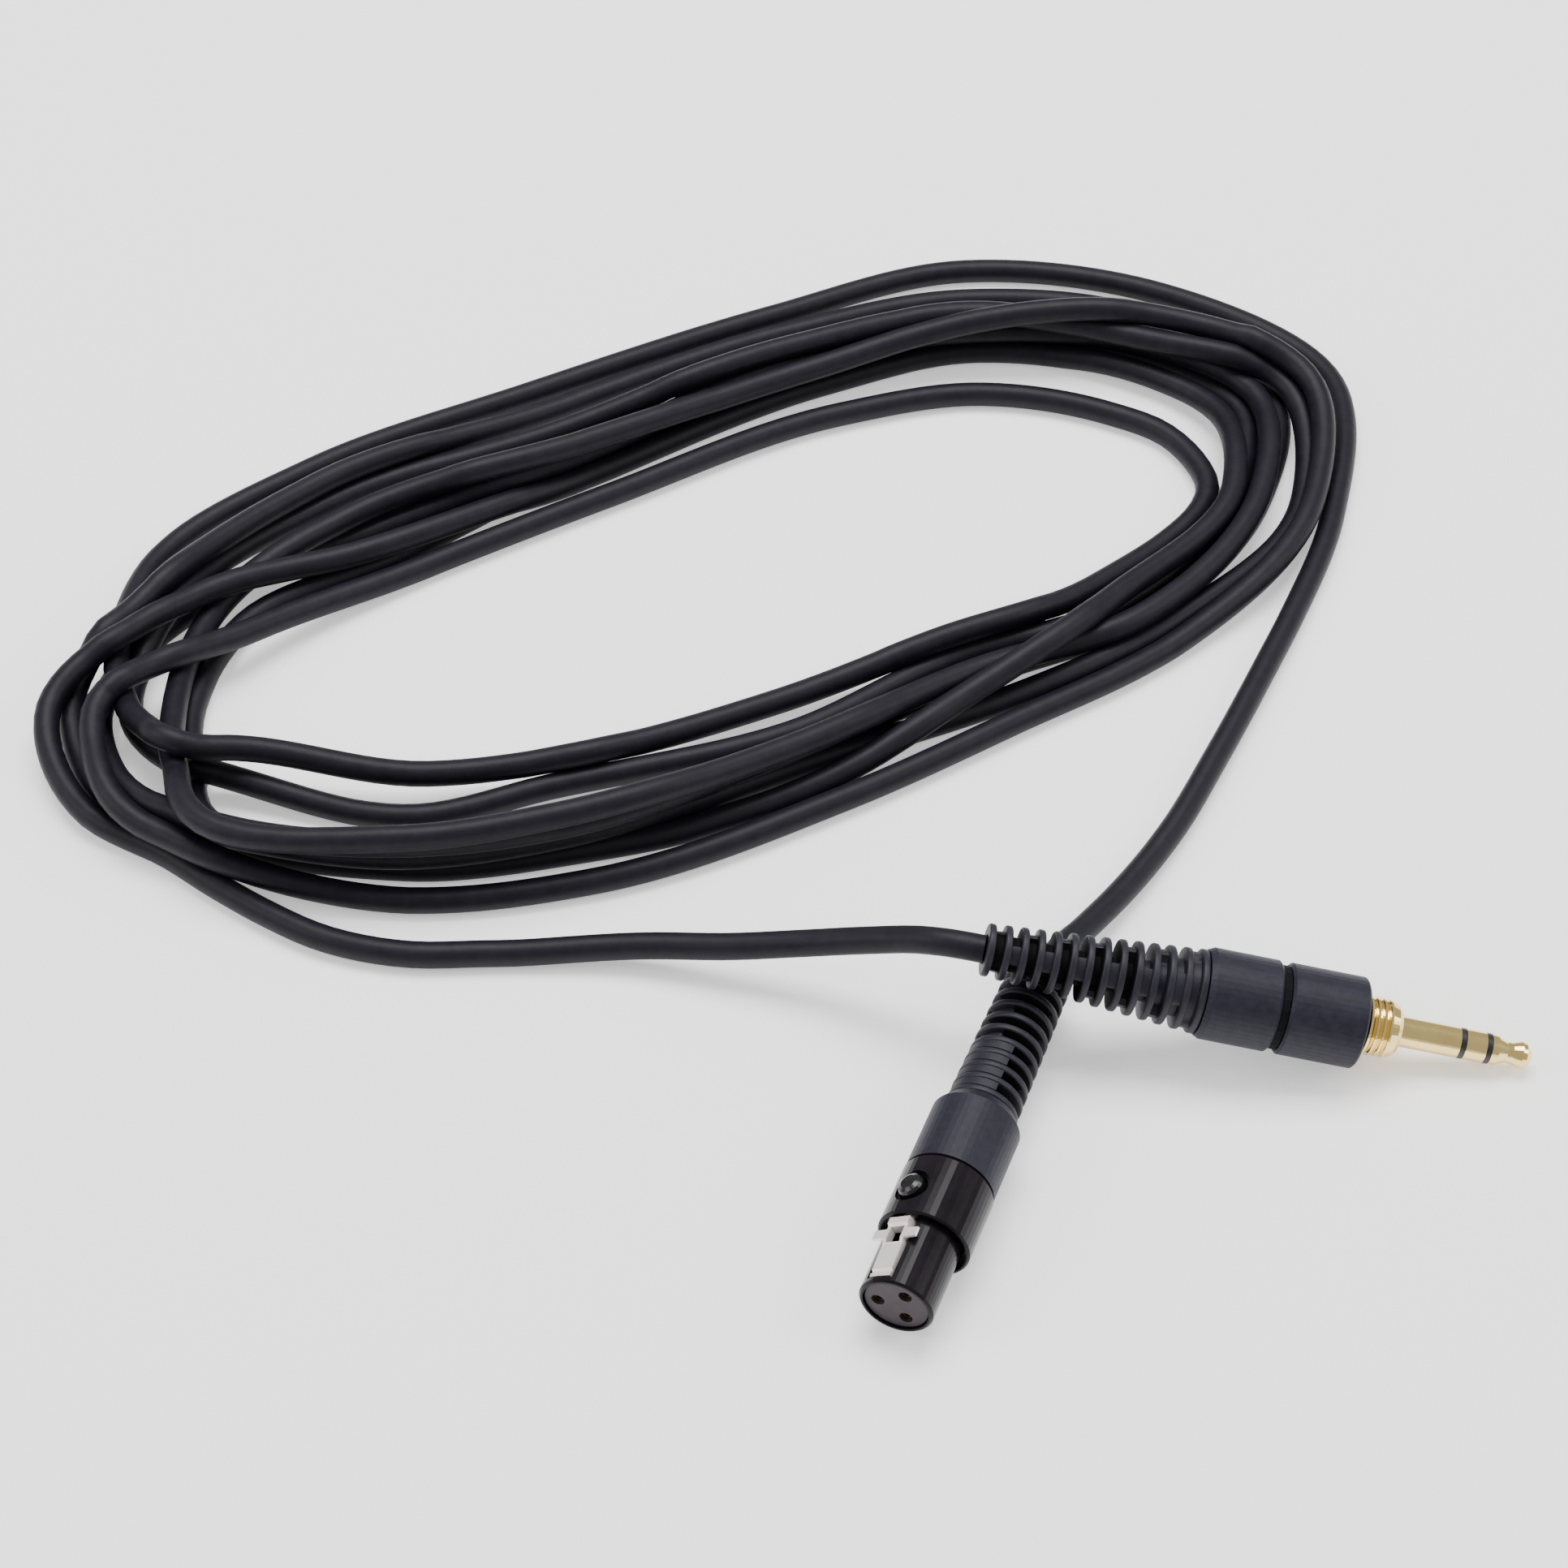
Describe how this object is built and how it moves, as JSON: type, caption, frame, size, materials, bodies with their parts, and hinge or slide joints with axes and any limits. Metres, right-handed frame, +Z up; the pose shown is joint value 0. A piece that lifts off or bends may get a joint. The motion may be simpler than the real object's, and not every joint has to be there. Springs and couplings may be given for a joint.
{
  "type": "coiled audio cable",
  "caption": "Thin black audio cable laid in a loose coil, with a latching mini XLR socket at one end and a gold stereo mini plug with a threaded locking collar at the other.",
  "frame": {"origin": "on the surface that the cable lies on, below the middle of the two connectors' common box", "axes": "+X along the longer side of the two connectors' box, roughly from the plug's boot to its tip; +Y from the connectors towards the coil; +Z up"},
  "size_m": [0.1747, 0.1824, 0.0166],
  "materials": {
    "cable": "satin black PVC jacket",
    "rubber": "matt black moulded strain relief",
    "grip": "fine-grained matt black",
    "shell": "glossy black chrome",
    "insulator": "brownish black contact insert",
    "button": "polished black",
    "latch": "bright rolled spring metal",
    "gold": "gold plated, polished",
    "ring": "black insulating plastic",
    "clamp": "plain crimped steel",
    "wire_red": "red wire insulation",
    "wire_white": "white wire insulation",
    "wire_shield": "twisted bare copper"
  },
  "bodies": {
    "cable_set": {"cable_coil": "cable", "xlr_lead": "cable", "jack_lead": "cable", "xlr_boot": "rubber", "xlr_grip": "grip", "xlr_front_shell": "shell", "xlr_nose_tube": "shell", "xlr_insert": "insulator", "xlr_contact_1": "gold", "xlr_contact_2": "gold", "xlr_contact_3": "gold", "xlr_cable_clamp": "clamp", "xlr_cable_end": "cable", "xlr_wire_red": "wire_red", "xlr_wire_white": "wire_white", "xlr_wire_shield": "wire_shield", "jack_boot": "rubber", "jack_rear_grip": "grip", "jack_front_grip": "grip", "jack_core": "ring", "jack_thread_collar": "gold", "jack_sleeve": "gold", "jack_rear_insulator": "ring", "jack_ring": "gold", "jack_front_insulator": "ring", "jack_tip": "gold", "jack_tip_terminal": "gold", "jack_ring_terminal": "gold", "jack_sleeve_terminal": "gold", "jack_terminal_block": "ring", "jack_cable_clamp": "clamp", "jack_cable_end": "cable", "jack_wire_red": "wire_red", "jack_wire_white": "wire_white", "jack_wire_shield": "wire_shield"},
    "latch_button": {"xlr_latch_button": "button"},
    "latch_lever": {"xlr_latch_lever": "latch"}
  },
  "joints": [
    {"name": "xlr_latch_press", "type": "slide", "parent": "cable_set", "child": "latch_button", "axis": [0.5085, -0.1952, -0.8387], "range_m": [0, 0.0006], "stiffness_N_per_m": 500},
    {"name": "xlr_latch_tilt", "type": "hinge", "parent": "cable_set", "child": "latch_lever", "pos_m": [-0.03543, -0.02042, 0.00822], "axis": [-0.783, 0.3005, -0.5446], "range_deg": [0, 3.21]}
  ],
  "couplings": [
    {"joint": "xlr_latch_tilt", "follows": "xlr_latch_press", "rad_per_m": 93.46}
  ]
}
